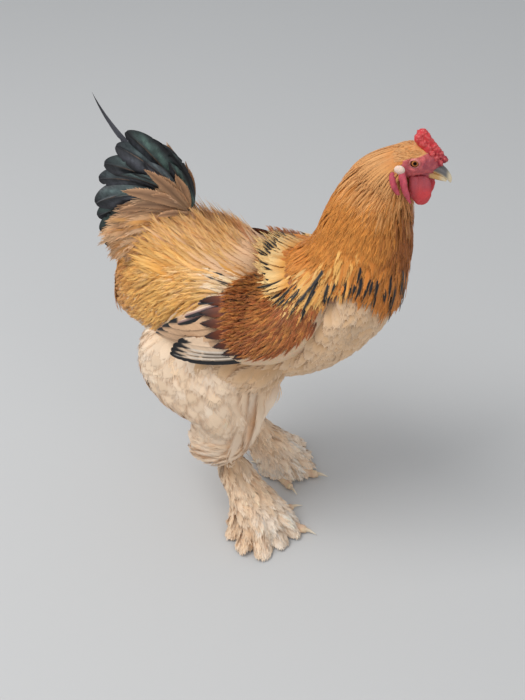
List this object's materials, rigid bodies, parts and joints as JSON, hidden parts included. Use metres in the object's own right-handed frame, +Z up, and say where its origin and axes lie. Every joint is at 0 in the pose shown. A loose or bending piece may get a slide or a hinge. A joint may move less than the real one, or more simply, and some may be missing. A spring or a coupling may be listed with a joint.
{
  "type": "brahma chicken",
  "caption": "Life-size standing buff Brahma cockerel with pea comb, long neck hackle, folded wings, raised dark tail and feathered feet.",
  "frame": {"origin": "on the floor under the middle of the bird's box", "axes": "+Z up, +X ahead along the bird, its right side towards -Y"},
  "size_m": [0.4005, 0.2394, 0.5753],
  "materials": {
    "comb_red": "soft waxy skin",
    "cream_feathers": "soft feathers",
    "ear_white": "soft waxy skin",
    "eye": "wet and clear",
    "face_skin": "wrinkled bare skin",
    "gold_feathers": "feathers",
    "horn": "smooth horn",
    "tail_feathers": "glossy feathers",
    "toe_skin": "scaly skin",
    "wing_feathers": "feathers"
  },
  "bodies": {
    "root": {"beak_lower": "horn", "beak_upper": "horn", "claw_hind_left": "horn", "claw_hind_right": "horn", "claw_inner_left": "horn", "claw_inner_right": "horn", "claw_middle_left": "horn", "claw_middle_right": "horn", "claw_outer_left": "horn", "claw_outer_right": "horn", "comb": "comb_red", "ear_lobe_left": "comb_red", "ear_lobe_right": "comb_red", "ear_patch_left": "ear_white", "ear_patch_right": "ear_white", "eye_left": "eye", "eye_right": "eye", "foot_left": "toe_skin", "foot_right": "toe_skin", "head": "face_skin", "neck": "gold_feathers", "rump": "gold_feathers", "shank_left": "cream_feathers", "shank_right": "cream_feathers", "tail_left": "tail_feathers", "tail_right": "tail_feathers", "thigh_left": "cream_feathers", "thigh_right": "cream_feathers", "torso": "cream_feathers", "wattle_left": "comb_red", "wattle_right": "comb_red", "wing_left": "wing_feathers", "wing_right": "wing_feathers"}
  },
  "joints": []
}
